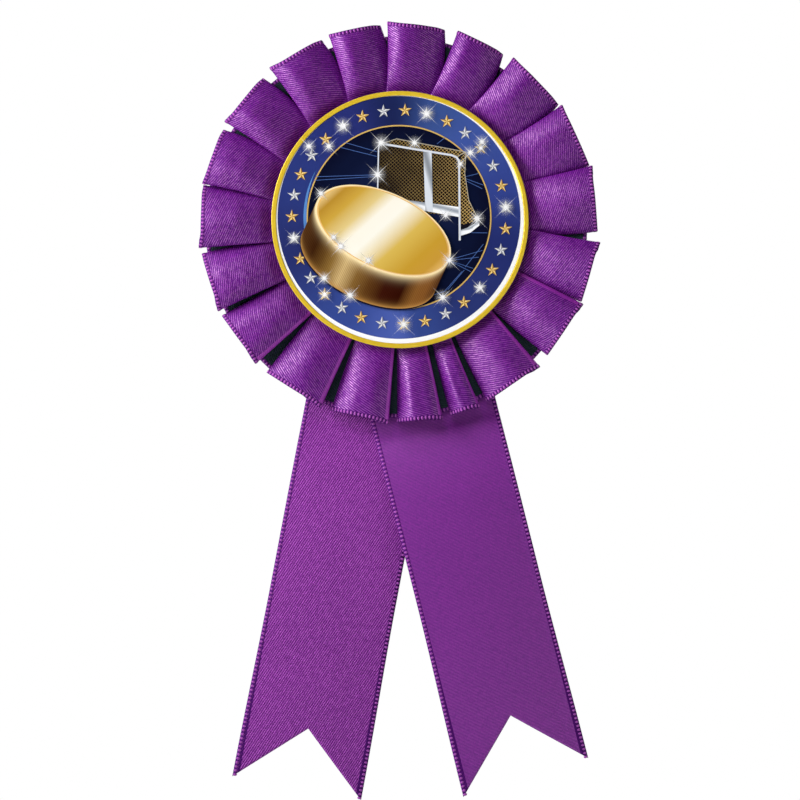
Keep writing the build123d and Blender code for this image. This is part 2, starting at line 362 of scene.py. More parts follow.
def satin(
    name, light, deep, highlight, lines=0.45, gloss_lines=0.9, breaks=0.7, relief=TWILL_RELIEF,
    pitch=TWILL_PITCH, slant=TWILL_SLANT,
):
    """Woven satin: fine twill lines across the ribbon at a slant, in broken dashes, and a darker selvedge.
    The cloth is light on a line and deep between two, and highlight tints its gloss. lines and gloss_lines
    say how strongly the lines show in the cloth and in the gloss, and breaks how far a line fades between
    its dashes. The UVs are millimetres along the ribbon and across it from its middle."""
    n = Nodes(name)
    along, across = n.uv()
    slant = math.radians(slant)
    drift = n.math("MULTIPLY", n.noise(60.0, 2.0), 0.35)
    phase = n.math("MULTIPLY_ADD", along, math.sin(slant) / pitch, drift)
    phase = n.math("MULTIPLY_ADD", across, math.cos(slant) / pitch, phase)
    run = n.math("MULTIPLY", along, math.cos(slant) / DASH_LENGTH)
    run = n.math("MULTIPLY_ADD", across, -math.sin(slant) / DASH_LENGTH, run)
    dashes = n.noise(1.0, 2.0, n.vector(run, n.math("MULTIPLY", phase, 0.9)))
    dashes = n.clamp(n.math("MULTIPLY_ADD", dashes, 4.5, -1.4), 1.0 - breaks)
    line = n.math("SINE", n.math("MULTIPLY", phase, 2 * math.pi))
    weave = n.math("MULTIPLY", n.clamp(n.math("MULTIPLY_ADD", line, 1.6, 0.45)), dashes)
    speckle = n.math("MULTIPLY_ADD", n.noise(3000.0, 1.0), 2.4, -0.7)
    cloud = n.noise(45.0, 3.0)
    edge = n.math("GREATER_THAN", n.math("ABSOLUTE", across), RIBBON_WIDTH / 2 - SELVEDGE_WIDTH)
    tone = n.math("MULTIPLY_ADD", weave, lines, n.math("MULTIPLY", cloud, 0.2))
    tone = n.math("MULTIPLY_ADD", speckle, 0.55 - 0.5 * lines, tone)
    cloth = n.mix(n.math("MINIMUM", tone, 1.0), deep, light)
    cloth = n.mix(edge, cloth, SELVEDGE)
    rough = n.math("MULTIPLY_ADD", weave, -0.08, 0.56)
    sheen = n.math("MULTIPLY_ADD", weave, gloss_lines, 1.0 - gloss_lines)
    glint = n.mix(edge, n.mix(sheen, GAP_GLOSS, highlight), SELVEDGE_GLOSS)
    tangent = n.add("Tangent")
    tangent.direction_type = "UV_MAP"
    tangent.uv_map = "UVMap"
    return n.set(
        Base_Color=cloth, Roughness=rough, IOR=1.9, Specular_IOR_Level=1.0, Specular_Tint=glint,
        Normal=n.bump(weave, relief), Anisotropic=0.45, Anisotropic_Rotation=0.25,
        Tangent=tangent.outputs[0],
    )


def thread(name, colour, dark):
    """Fine twisted thread, as in the selvedge beads and the stitches."""
    n = Nodes(name)
    grain = n.noise(1500.0, 2.0)
    return n.set(
        Base_Color=n.mix(grain, dark, colour), Roughness=0.55, Normal=n.bump(grain, 0.00004), IOR=1.7,
        Specular_Tint=srgb(240, 160, 244),
    )


def card(name, colour):
    """Uncoated card: a warm fibre mottle and a little tooth."""
    n = Nodes(name)
    fibre = n.noise(900.0, 6.0)
    mottle = n.noise(120.0, 3.0)
    shade = darker(colour, 0.86)
    tone = n.mix(n.math("MULTIPLY_ADD", fibre, 0.5, n.math("MULTIPLY", mottle, 0.5)), shade, colour)
    return n.set(Base_Color=tone, Roughness=0.85, Normal=n.bump(fibre, 0.00006))


def foam(name, colour):
    n = Nodes(name)
    cells = n.noise(1600.0, 2.0)
    tone = n.mix(cells, darker(colour, 0.8), colour)
    return n.set(Base_Color=tone, Roughness=0.8, Normal=n.bump(cells, 0.0001))


def metal(name, colour, roughness):
    """Plated sheet or wire: fine drawn grain and faint handling marks."""
    n = Nodes(name)
    stretched = n.add("Mapping")
    stretched.inputs["Scale"].default_value = (0.06, 1.0, 1.0)
    n.link(n.place(), stretched.inputs["Vector"])
    grain = n.noise(2600.0, 4.0, stretched.outputs[0])
    marks = n.noise(300.0, 3.0)
    tone = n.mix(grain, darker(colour, 0.78), colour)
    rough = n.math("MULTIPLY_ADD", marks, 0.16, roughness)
    return n.set(Base_Color=tone, Roughness=rough, Metallic=1.0, Normal=n.bump(grain, 0.000012))


def gold_plastic(name):
    """Gold-metallised plastic: a yellow with painted shade, a dark bronze, where it turns sideways."""
    n = Nodes(name)
    grain = n.noise(700.0, 3.0)
    warm = n.mix(grain, srgb(238, 198, 34), srgb(250, 216, 66))
    # Painted shade: the holder's sides, turned away from the front, are coloured dark bronze.
    turned = n.math("MINIMUM", n.math("MULTIPLY", n.facing(), 2.0), 1.0)
    warm = n.mix(turned, srgb(120, 84, 26), warm)
    return n.set(
        Base_Color=warm, Roughness=n.math("MULTIPLY_ADD", grain, 0.1, 0.3), Metallic=0.35,
        Specular_IOR_Level=0.5, Normal=n.bump(grain, 0.000006),
    )


def printed(n, tone, roughness=0.4):
    """Finishes a material as ink of that colour on paper, with next to no gloss."""
    return n.set(Base_Color=tone, Roughness=roughness, Specular_IOR_Level=0.04)


def ink(name, colour, roughness=0.42):
    """One flat printed ink, with a faint screen of dots."""
    n = Nodes(name)
    dots = n.noise(4000.0, 1.0)
    return printed(n, n.mix(dots, darker(colour, 0.93), colour), roughness)


def radial_ink(name, stops, around):
    """Ink whose colour follows the angle round the middle, or the distance from it. UVs run -1 to 1."""
    n = Nodes(name)
    u, v = n.uv()
    if around:
        factor = n.math("MULTIPLY_ADD", n.math("ARCTAN2", u, v), 0.5 / math.pi, 0.5)
    else:
        factor = n.from_middle(u, v)
    return printed(n, n.scaled(n.ramp(factor, stops, smooth_steps=True), 0.86))


def puck_top_ink(name):
    """A broad pale gleam across a gold face. UV X runs across the gleam."""
    n = Nodes(name)
    across_gleam = n.uv()[0]
    stops = (
        (0.03, srgb(232, 202, 136)), (0.11, srgb(178, 134, 44)), (0.20, srgb(198, 158, 60)),
        (0.31, srgb(220, 196, 130)), (0.39, srgb(244, 238, 222)), (0.48, srgb(244, 240, 226)),
        (0.55, srgb(232, 218, 182)), (0.64, srgb(212, 178, 82)), (0.80, srgb(194, 150, 46)),
        (0.90, srgb(196, 148, 54)), (0.97, srgb(226, 182, 104)),
    )
    return printed(n, n.ramp(across_gleam, stops), 0.36)


def puck_side_ink(name):
    """Dark and light bronze bands round the side, with fine upright knurling. UV X runs round it, Y up."""
    n = Nodes(name)
    u, v = n.uv()
    stops = (
        (0.0, srgb(78, 48, 22)), (0.12, srgb(56, 28, 8)), (0.20, srgb(94, 64, 26)),
        (0.27, srgb(132, 100, 48)), (0.36, srgb(196, 166, 112)), (0.46, srgb(126, 92, 44)),
        (0.56, srgb(90, 56, 22)), (0.67, srgb(54, 16, 6)), (0.79, srgb(46, 10, 2)),
        (0.88, srgb(126, 82, 36)), (0.94, srgb(124, 78, 34)), (1.0, srgb(76, 46, 26)),
    )
    ridge_count = 88
    ridges = n.math("SINE", n.math("MULTIPLY", u, 2 * math.pi * ridge_count))
    base = n.scaled(n.ramp(u, stops), n.math("MULTIPLY_ADD", ridges, 0.22, 1.0))
    faded = n.mix(n.math("POWER", v, 11.0), base, srgb(250, 226, 172))
    low = n.mix(n.math("POWER", n.math("SUBTRACT", 1.0, v), 14.0), faded, srgb(186, 136, 70))
    return printed(n, low, 0.36)


def net_ink(name, warmth):
    """A fine diamond net over a dark ground. UVs are millimetres."""
    n = Nodes(name)
    u, v = n.uv()
    pitch, thinness = 0.952, 0.91
    strands = []
    for slant in (1.0, -1.15):
        wave = n.math("SINE", n.math("MULTIPLY", n.math("MULTIPLY_ADD", v, slant, u), 2 * math.pi / pitch))
        strands.append(n.math("GREATER_THAN", wave, thinness))
    strand = n.math("MAXIMUM", strands[0], strands[1])
    across = n.math("MULTIPLY_ADD", u, 0.024, warmth)
    glow = n.math("MULTIPLY", strand, n.math("MULTIPLY_ADD", n.noise(140.0, 2.0), 0.52, across))
    tone = n.mix(n.math("MAXIMUM", glow, 0.0), srgb(20, 14, 16), srgb(226, 190, 112))
    return printed(n, tone, 0.42)


def shaded_ink(name, low, high):
    """Ink that goes from low to high and back in one soft slanting wave. UVs run -1 to 1."""
    n = Nodes(name)
    u, v = n.uv()
    wave = n.math("SINE", n.math("MULTIPLY_ADD", v, 2.6, n.math("MULTIPLY", u, 1.4)))
    stops = ((0.0, low), (0.6, high), (1.0, high))
    return printed(n, n.ramp(n.math("MULTIPLY_ADD", wave, -0.5, 0.5), stops))


def fading_ink(name, strength, falloff, ray=False):
    """White ink that thins out to nothing: away from the middle, or along a ray. UVs run -1 to 1."""
    n = Nodes(name)
    u, v = n.uv()
    away = n.math("ABSOLUTE", u) if ray else n.from_middle(u, v)
    left = n.math("MAXIMUM", n.math("SUBTRACT", 1.0, away), 0.0)
    cover = n.math("MULTIPLY", n.math("POWER", left, falloff), strength)
    return n.set(
        Base_Color=srgb(255, 255, 255), Roughness=0.6, Specular_IOR_Level=0.1,
        Alpha=n.math("MINIMUM", cover, 1.0),
    )


GLOSS = srgb(246, 194, 238)
SHEEN = srgb(234, 156, 240)
SATIN = satin("purple_satin", srgb(142, 30, 168), srgb(48, 2, 86), GLOSS, lines=0.52)
# The two streamers are one ribbon in two copies of its satin: painted light makes the left one lighter with
# clearer twill, and painted shade makes the right one darker with fainter twill.
SATIN_LEFT_LIT = satin(
    "purple_satin_left_painted_lit", srgb(166, 62, 180), srgb(68, 12, 94), SHEEN, lines=0.8, breaks=0.35,
)
SATIN_RIGHT_SHADED = satin(
    "purple_satin_right_painted_shade", srgb(142, 34, 158), srgb(76, 10, 108), SHEEN, lines=0.12, gloss_lines=0.2,
    relief=FAINT_RELIEF, pitch=0.75, slant=-50.0,
)
# Painted light: a lighter satin for the band along the bottom pleats' anticlockwise folds, standing for
# light caught on the roll.
SATIN_FOLD_LIGHT = satin(
    "purple_satin_fold_painted_light", srgb(172, 56, 178), srgb(112, 20, 136), SHEEN, lines=0.2, gloss_lines=0.3,
    relief=FAINT_RELIEF,
)
# Painted shade: a dark green-grey satin for the ribbon's hidden under-layers, its turns and the base
# between pleats, standing for the deep shade in the gaps.
PAINTED_SHADE_SATIN = satin("satin_painted_shade", srgb(44, 62, 62), srgb(26, 42, 42), srgb(70, 90, 90))
SATIN_EDGE = thread("selvedge_thread", srgb(172, 88, 178), srgb(130, 54, 146))


# ---- the pleated ring
# Places along a pleat run from 0 at the sewn end to 1 at the rim; the medallion's edge is at EDGE_S.
EDGE_S = (HOLDER_RADIUS - PLEAT_INNER) / (PLEAT_OUTER - PLEAT_INNER)
HEIGHT_STATIONS = (0.0, EDGE_S, EDGE_S + 0.10, 0.72, 0.88, 1.0)


class Pleat:
    """One box pleat. Its section across the pleat is worked out at rows from the sewn end to the rim.
    puff is how full its face is, peak where across it the crown stands, lift how high the rim's folds are,
    bow and lean how the folds curve sideways, droop how the rim sinks, and flick how its corner curls."""

    def __init__(self, start, end, inner_start, inner_end, rng):
        half_turn = math.radians(end - start) / 2
        middle = (start + end) / 2
        self.turn = math.radians(middle)
        self.rim = PLEAT_OUTER * math.sin(half_turn)
        reach = PLEAT_OUTER * math.cos(half_turn) + RIM_SPREAD
        self.q_out = reach - RIM_SHIFT * math.cos(self.turn - RIM_SHIFT_TURN)
        slopes = [math.tan(math.radians(angle - middle)) for angle in (inner_start, inner_end)]
        self.inner = [HOLDER_RADIUS * slope for slope in slopes]
        self.puff = rng.uniform(0.9, 1.1) * min(1.0, 0.3 + self.rim / 9.5)
        self.peak = -0.30 * math.cos(self.turn) - 0.06 + rng.uniform(-0.06, 0.06)
        self.lift = rng.uniform(-0.3, 0.3)
        self.bow = rng.uniform(-0.15, 0.15)
        self.lean = 0.5 + 0.5 * math.cos(self.turn - 0.3)
        self.phases = [rng.uniform(0, 2 * math.pi) for _ in range(3)]
        self.droop = 0.5 - 0.5 * math.sin(self.turn)
        self.flick = rng.uniform(0.3, 1.0)
        self.corner_cut = CORNER_CUT * smooth(math.cos(self.turn + 0.5) + 0.2)
        self.base_out = 48.4 - 1.9 * math.cos(self.turn - 0.5)
        self.radial = np.array([math.sin(self.turn), 0, math.cos(self.turn)])
        self.side = np.array([math.cos(self.turn), 0, -math.sin(self.turn)])
        self.front = np.array([0, -1.0, 0])

    def edges(self, s):
        """Sideways places of the anticlockwise and clockwise folds."""
        t = (s - EDGE_S) / (1 - EDGE_S)
        belly = 4 * np.clip(t, 0, 1) * (1 - np.clip(t, 0, 1))
        left = self.inner[0] + t * (-self.rim - self.inner[0]) + belly * (self.bow + 0.4 * self.lean)
        right = self.inner[1] + t * (self.rim - self.inner[1]) + belly * (self.bow + 1.1 * self.lean)
        return left, right

    def roll(self, s):
        return np.interp(s, HEIGHT_STATIONS, (0.28, 0.32, 0.40, 0.60, 0.72, 0.80))

    def edge_height(self, s, hand):
        """Height of a fold's centre over the base. The anticlockwise one, hand -1, laps its neighbour."""
        if hand < 0:
            heights = (0.95, 1.12, 2.1, 2.8, 2.9, 2.7 + self.lift)
        else:
            heights = (0.32, 0.36, 0.50, 0.76, 0.90, 1.12 + self.lift)
        return np.interp(s, HEIGHT_STATIONS, heights)

    def crown(self, s):
        dome = self.puff * np.interp(s, HEIGHT_STATIONS, (0.1, 0.18, 1.4, 2.7, 3.1, 3.1))
        return dome - self.droop * np.interp(s, HEIGHT_STATIONS, (0, 0, 0, 0.1, 0.5, 1.3))

    def slope(self, s):
        """How steeply the face meets its folds."""
        left, right = self.edges(s)
        return np.arctan(4.2 * self.crown(s) / (right - left))

    def corner_reach(self, s, a):
        """How far past the rim's line a place goes: one corner curls out and the other is rounded off."""
        curl = 2.0 * self.flick * np.clip(-a - 0.45, 0, 1) ** 2
        rounding = self.corner_cut * (np.clip(a - 0.70, 0, 1) / 0.30) ** 2
        return curl * s ** 8 - rounding * s ** 14

    def panel(self, s):
        """The visible face, from the anticlockwise fold to the clockwise one: sideways, height, reach."""
        a = np.linspace(-1, 1, PANEL_COLUMNS)[:, None]
        s = s[None, :]
        left, right = self.edges(s)
        half, roll, slope = (right - left) / 2, self.roll(s), self.slope(s)
        from_peak = np.abs(a - self.peak) / np.where(a < self.peak, 1 + self.peak, 1 - self.peak)
        arch = 1 - from_peak ** np.where(a < self.peak, 2.1, 1.8)
        x = (left + right) / 2 + a * (half - roll * (1 - np.abs(np.sin(slope)) * np.abs(a) ** 3))
        mixed = self.edge_height(s, -1) * (1 - a) / 2 + self.edge_height(s, 1) * (1 + a) / 2
        h = mixed + roll * (1 - (1 - np.cos(slope)) * np.abs(a) ** 3) + self.crown(s) * arch
        waves = np.sin(1.7 * math.pi * a + 4.0 * s + self.phases[0])
        waves += 0.7 * np.sin(2.6 * a - 7.0 * s + self.phases[1])
        h = h + 0.14 * waves * smooth((s - 0.5) / 0.3) * (1 - a ** 4)
        return x, h, self.corner_reach(s, a)

    def fold(self, s, hand):
        """The roll, the layer that goes back under the panel, and its turn down to the base."""
        s = s[None, :]
        left, right = self.edges(s)
        edge = left if hand < 0 else right
        roll, centre = self.roll(s), self.edge_height(s, hand)
        swing = np.linspace(0, 1, ROLL_COLUMNS + 1)[1:, None]
        angle = (math.pi / 2 - self.slope(s)) * (1 - swing) - math.pi / 2 * swing
        x = [edge - hand * roll * (1 - np.cos(angle))]
        h = [centre + roll * np.sin(angle)]
        depth = np.minimum(FOLD_DEPTH, 0.42 * (right - left))
        turn_radius = 0.25
        t = np.linspace(0, 1, MIDDLE_COLUMNS + 1)[1:, None]
        x.append(edge - hand * (roll + t * (depth - roll)))
        h.append((centre - roll) * (1 - t ** 2) + 2 * turn_radius * t ** 2)
        turn = np.linspace(0, math.pi, TURN_COLUMNS + 1)[1:, None]
        x.append(edge - hand * (depth + turn_radius * np.sin(turn)))
        h.append(turn_radius * (1 + np.cos(turn)) + 0 * s)
        return np.concatenate(x), np.concatenate(h)

    def to_world(self, x, h, q):
        return (
            x[..., None] * self.side
            + q[..., None] * self.radial
            + (BASE_DEPTH + h)[..., None] * self.front
        )


def pleat_columns(pleat, s):
    """All the columns of one pleat in the order that the ribbon runs."""
    q = PLEAT_INNER + s[None, :] * (pleat.q_out - PLEAT_INNER)
    base_q = PLEAT_INNER + s[None, :] * (pleat.base_out - PLEAT_INNER)
    x, h, reach = pleat.panel(s)
    panel = pleat.to_world(x, h, q + reach)
    sides = []
    for hand in (-1, 1):
        fold_x, fold_h = pleat.fold(s, hand)
        back = np.zeros((len(fold_x), 1))
        back[ROLL_COLUMNS:, 0] = np.linspace(0, 1, len(fold_x) - ROLL_COLUMNS)
        fold_q = (q + pleat.corner_reach(s[None, :], hand)) * (1 - back) + base_q * back
        sides.append(pleat.to_world(fold_x, fold_h, fold_q))
    return np.concatenate([sides[0][::-1], panel, sides[1]])


def make_pleats():
    """The pleats, each with its ends at the medallion's edge halfway to the pleats beside it."""
    rng = random.Random(7)
    next_starts = [facts[0] for facts in PLEATS[1:]] + [PLEATS[0][0] + 360]
    middles = [(facts[1] + after) / 2 for facts, after in zip(PLEATS, next_starts)]
    pleats = []
    for i, (start, end, gap) in enumerate(PLEATS):
        before = middles[i - 1] - (360 if i == 0 else 0)
        inner_start = before + PLEATS[i - 1][2] / 2
        inner_end = middles[i] - gap / 2
        pleats.append(Pleat(start, end, inner_start, inner_end, rng))
    return pleats


SATIN_LOOK, PAINTED_SHADE_LOOK, PAINTED_FOLD_LIGHT_LOOK = 0, 1, 2
RING_LOOKS = (SATIN, PAINTED_SHADE_SATIN, SATIN_FOLD_LIGHT)
BETWEEN_PLEATS = (0.25, 0.5, 0.75)


def pleat_looks(pleat, count):
    """The look of each strip between a pleat's columns: painted shade under the face and through the turns,
    and on the bottom pleats a painted light band along the fold.
    """
    hidden = TURN_COLUMNS + MIDDLE_COLUMNS - 1
    band = ROLL_COLUMNS + FOLD_LIGHT_BAND_COLUMNS
    shown = count - 1 - 2 * hidden - band
    # The bottom pleats' anticlockwise folds take the painted light band.
    fold_light_look = PAINTED_FOLD_LIGHT_LOOK if math.cos(pleat.turn) < -0.4 else SATIN_LOOK
    return [PAINTED_SHADE_LOOK] * hidden + [fold_light_look] * band + [SATIN_LOOK] * shown + [PAINTED_SHADE_LOOK] * hidden


def build_pleated_ring():
    s = np.linspace(0, 1, PLEAT_ROWS)
    pleats = make_pleats()
    blocks = [pleat_columns(pleat, s) for pleat in pleats]
    columns, looks = [], []
    for pleat, block, after in zip(pleats, blocks, blocks[1:] + blocks[:1]):
        columns.append(block)
        looks += pleat_looks(pleat, len(block))
        for t in BETWEEN_PLEATS:
            columns.append(((1 - t) * block[-1] + t * after[0])[None])
        # The base between two pleats takes painted shade too.
        looks += [PAINTED_SHADE_LOOK] * (len(BETWEEN_PLEATS) + 1)
    points = np.concatenate(columns)
    closed = np.concatenate([points, points[:1]])
    measured_row = int(PLEAT_ROWS * 0.85)
    steps = np.linalg.norm(np.diff(closed[:, measured_row], axis=0), axis=1)
    along = np.concatenate([[0], np.cumsum(steps)])
    across = np.linspace(-RIBBON_WIDTH / 2, RIBBON_WIDTH / 2, PLEAT_ROWS)
    uvs = np.stack(np.meshgrid(along, across, indexing="ij"), axis=-1)
    ring = new_object("pleated_ribbon", grid_mesh("pleated_ribbon", points, uvs, closed=True))
    for material in RING_LOOKS:
        ring.data.materials.append(material)
    ring.data.polygons.foreach_set("material_index", np.repeat(np.array(looks, int), PLEAT_ROWS - 1))
    thicken(ring, RIBBON_THICKNESS)
    beads = beads_along("pleat_selvedge", [(closed[:, -1], closed[:, -3])], RIM_BEAD_PITCH)
    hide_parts("pleated_ring")
    for piece in (ring, beads):
        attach(piece, "root")


# ---- the streamers
def streamer_frame(name):
    """The hinge point, the direction down the ribbon and the direction across it to the viewer's right."""
    joint = next(j for j in frame["joints"] if j["child"] == name)
    point = np.array(joint["pos_m"], float) / MM
    across = np.array(joint["axis"], float)
    across *= math.copysign(1, across[0])
    down = np.array([across[2], 0, -across[0]])
    return point, down, across


def build_streamer(name, facts):
    """A hanging ribbon with a notched end. u runs down it and w across it, from v = -1 to 1."""
    point, down, across = streamer_frame(name)
    length, side, notch = facts["length"], facts["side"], facts["notch"]
    v = np.linspace(-1, 1, STREAMER_COLUMNS)[:, None]
    r = np.linspace(0, 1, STREAMER_ROWS)[None, :]
    straight = TAB_START + r * (length - TAB_START)
    near_end = smooth((straight - length + 3 * notch) / (3 * notch))
    cut = (notch * (1 - np.abs(v)) + END_SLANT * side * v) * near_end
    u = straight - cut
    free = smooth((u - HINGE_DISTANCE + 4) / 30)
    w = v * RIBBON_WIDTH / 2 * (1 + STREAMER_FLARE * smooth((u - FLARE_START) / FLARE_RUN))
    phase = 0.6 if side > 0 else 2.4
    wave = 0.3 + 0.25 * np.sin(u / 17.0 + phase + 0.35 * v) + 0.12 * np.sin(u / 8.5 - 0.8 * v + phase)
    hang = np.clip((u - HINGE_DISTANCE) / (length - HINGE_DISTANCE), 0, 1)
    # hang * (1 - hang) ** 2 peaks at 4 / 27, so STREAMER_ARC is the arc's height.
    arc = 27 / 4 * STREAMER_ARC * hang * (1 - hang) ** 2 - STREAMER_SWING_BACK * hang ** 2
    twist = -v * RIBBON_WIDTH / 2 * math.tan(math.radians(facts["twist"])) * hang
    out = arc + twist + free * (side * wave - facts["cupped"] * v ** 2)
    points = (
        point
        + (u - HINGE_DISTANCE)[..., None] * down
        + w[..., None] * across
        + out[..., None] * np.array([0, -1.0, 0])
    )
    uvs = np.stack([u, np.broadcast_to(w, u.shape)], axis=-1)
    mesh = grid_mesh(name + "_ribbon", points[::-1], uvs[::-1])
    ribbon = new_object(name + "_ribbon", mesh)
    # Painted light and shade: each streamer takes its own lit or shaded copy of the satin.
    ribbon.data.materials.append(SATIN_LEFT_LIT if side < 0 else SATIN_RIGHT_SHADED)
    thicken(ribbon, RIBBON_THICKNESS)
    shown = points[:, np.searchsorted(straight[0], HINGE_DISTANCE - BEADS_ABOVE):]
    edges = [(shown[0], shown[1]), (shown[-1], shown[-2])]
    beads = beads_along(name + "_selvedge", edges, SIDE_BEAD_PITCH)
    for piece in (ribbon, beads):
        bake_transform(piece)
    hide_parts(name, name + "_tab")


# ---- the printed medallion
INK_THICKNESS = 0.02
DISC_SIDES = 160
BAND_RADIUS = 30.5
FIELD_RADIUS = 23.1
STAR_RING_RADIUS = 26.9
STAR_COUNT = 31
STAR_RADIUS = 1.76
STAR_FIRST_ANGLE = 3.3
PRINT_CENTRE = np.array([-0.25, 0.55])


class Print:
    """Flat printed shapes: each is a thin closed slab with one of the piece's inks. Places are millimetres
    from the print's centre, X to the right and Z up."""

    def __init__(self, name, layer):
        self.name, self.depth = name, LABEL_FRONT + INK_THICKNESS * layer
        self.points, self.faces, self.uvs, self.inks, self.slots = [], [], [], [], []

    def use(self, material, layers_up=0):
        """Takes up an ink, and goes that many ink thicknesses further forward."""
        if material not in self.slots:
            self.slots.append(material)
        self.ink = self.slots.index(material)
        self.depth += INK_THICKNESS * layers_up
        return self

    def slab(self, outline, uv=None):
        """A filled outline, anticlockwise as seen from the front."""
        outline = [tuple(p) for p in outline]
        uv = uv or outline
        count, first = len(outline), len(self.points)
        for level in (0.0, INK_THICKNESS):
            self.points += [(x, -(self.depth + level), z) for x, z in outline]
        self.add([first + count + i for i in range(count)], uv)
        self.add([first + i for i in reversed(range(count))], uv[::-1])
        for i in range(count):
            k = (i + 1) % count
            corners = [first + i, first + k, first + count + k, first + count + i]
            self.add(corners, [uv[i], uv[k], uv[k], uv[i]])

    def add(self, corners, uv):
        self.faces.append(corners)
        self.uvs += uv
        self.inks.append(self.ink)

    def path(self, places, width):
        """A bar bent through several places, with even width."""
        places = [np.array(p, float) for p in places]
        left, right = [], []
        for i, place in enumerate(places):
            way = places[min(i + 1, len(places) - 1)] - places[max(i - 1, 0)]
            side = np.array([way[1], -way[0]]) / np.linalg.norm(way) * width / 2
            right.append(place + side)
            left.append(place - side)
        self.slab(right + left[::-1])

    def ring(self, inner, outer):
        """A flat annulus, as quads joined all round."""
        for i in range(DISC_SIDES):
            turns = [2 * math.pi * (i + k) / DISC_SIDES for k in (0, 1)]
            places = [(r * math.sin(t), r * math.cos(t)) for r, t in
                      ((outer, turns[1]), (outer, turns[0]), (inner, turns[0]), (inner, turns[1]))]
            first = len(self.points)
            for level in (0.0, INK_THICKNESS):
                self.points += [(x, -(self.depth + level), z) for x, z in places]
            uv = [(x / outer, z / outer) for x, z in places]
            self.add([first + 4 + k for k in range(4)], uv)
            self.add([first + k for k in reversed(range(4))], uv[::-1])
            self.add([first + 5, first + 4, first, first + 1], [uv[0]] * 4)
            self.add([first + 7, first + 6, first + 2, first + 3], [uv[2]] * 4)

    def finish(self):
        mesh = bpy.data.meshes.new(self.name)
        points = np.array(self.points, float)
        points[:, 0] += PRINT_CENTRE[0]
        points[:, 2] += PRINT_CENTRE[1]
        mesh.from_pydata((points * MM).tolist(), [], self.faces)
        layer = mesh.uv_layers.new(name="UVMap")
        layer.data.foreach_set("uv", np.array(self.uvs, np.float32).ravel())
        for material in self.slots:
            mesh.materials.append(material)
        mesh.polygons.foreach_set("material_index", self.inks)
        mesh.update()
        piece = new_object(self.name, mesh)
        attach(piece, "root")


def ring_place(angle_deg, radius):
    angle = math.radians(angle_deg)
    return np.array([radius * math.sin(angle), radius * math.cos(angle)])


def star_place(k):
    return ring_place(STAR_FIRST_ANGLE + 360 * k / STAR_COUNT, STAR_RING_RADIUS)


def print_grounds():
    """The blue band, the dark field inside it, and a gold line and a pale crescent between them."""
    band_ink = radial_ink("ink_blue_band", (
        (0.0, srgb(78, 98, 178)), (0.08, srgb(56, 76, 150)), (0.20, srgb(40, 48, 108)),
        (0.30, srgb(44, 58, 126)), (0.42, srgb(42, 50, 118)), (0.49, srgb(28, 38, 86)),
        (0.56, srgb(60, 84, 148)), (0.62, srgb(66, 88, 164)), (0.70, srgb(54, 70, 146)),
        (0.79, srgb(38, 48, 112)), (0.90, srgb(44, 56, 118)), (0.97, srgb(54, 74, 144)),
        (1.0, srgb(78, 98, 178)),
    ), around=True)
    field_ink = radial_ink("ink_dark_field", (
        (0.0, srgb(30, 42, 84)), (0.45, srgb(20, 30, 66)), (0.8, srgb(12, 20, 50)), (1.0, srgb(10, 14, 40)),
    ), around=False)
    gold_line = ink("ink_gold_line", srgb(206, 170, 96))
    pale_line = ink("ink_pale_blue_line", srgb(84, 132, 196))
    grounds = Print("print_grounds", 0)
    grounds.use(band_ink).ring(FIELD_RADIUS - 0.2, BAND_RADIUS)
    grounds.use(field_ink)
    rim = [ring_place(-360 * i / DISC_SIDES, FIELD_RADIUS - 0.2) for i in range(DISC_SIDES)]
    grounds.slab(rim, [(x / FIELD_RADIUS, z / FIELD_RADIUS) for x, z in rim])
    grounds.use(pale_line, layers_up=1.5)
    crescent = [ring_place(angle, FIELD_RADIUS + 0.9) for angle in range(230, 301, 2)]
    inner = [
        ring_place(angle, FIELD_RADIUS + 0.9 - 0.8 * math.sin(math.pi * (angle - 230) / 70))
        for angle in range(300, 229, -2)
    ]
    grounds.slab((crescent + inner)[::-1])
    grounds.use(gold_line, layers_up=1.5).ring(FIELD_RADIUS - 0.22, FIELD_RADIUS + 0.12)
    grounds.finish()


def star_inks(name, light, dark):
    return ink(f"ink_star_{name}_light", light), ink(f"ink_star_{name}_dark", dark)


def print_stars():
    """Five-pointed stars round the band, each in ten facets, gold and silver by turns."""
    gold = star_inks("gold", srgb(240, 206, 130), srgb(156, 116, 50))
    silver = star_inks("silver", srgb(224, 224, 226), srgb(134, 136, 146))
    stars = Print("print_stars", 5)
    for k in range(STAR_COUNT):
        middle = star_place(k)
        light, dark = gold if (k % 2 == 0) == (k < STAR_COUNT // 2) else silver
        corners = []
        for i in range(10):
            reach = STAR_RADIUS if i % 2 == 0 else STAR_RADIUS * 0.38
            corners.append(middle + ring_place(36 * i, reach))
        for i in range(10):
            stars.use(dark if i % 2 == 0 else light)
            stars.slab([middle, corners[(i + 1) % 10], corners[i]])
    stars.finish()


def print_beams():
    """Thin blue lines across the dark field."""
    beams = Print("print_beams", 5)
    blue = ink("ink_blue_line", srgb(74, 104, 168))
    beams.use(blue)
    for start, end in (
        ((-13.9, 18.9), (-5.6, 16.5)), ((-14.8, 17.6), (-5.6, 15.3)), ((-20.8, 10.2), (-5.4, 10.7)),
        ((-21.1, 9.3), (-5.4, 10.3)), ((9.5, 18.4), (11.5, 20.0)), ((16.6, 10.2), (19.9, 11.0)),
        ((16.8, 9.7), (21.2, 8.1)), ((16.8, 9.2), (20.9, 7.2)), ((15.6, -3.8), (22.2, -3.9)),
        ((12.8, -10.6), (20.9, -8.3)), ((12.8, -10.8), (20.0, -10.0)), ((12.8, -11.0), (18.0, -13.6)),
        ((12.8, -10.9), (18.6, -12.8)), ((21.2, -6.7), (16.6, -12.5)), ((15.8, -13.6), (11.4, -18.6)),
        ((11.4, -18.6), (8.8, -19.4)), ((16.4, -13.2), (12.2, -18.2)),
    ):
        beams.path([start, end], 0.13)
        beams.use(blue, layers_up=0.1)
    beams.finish()


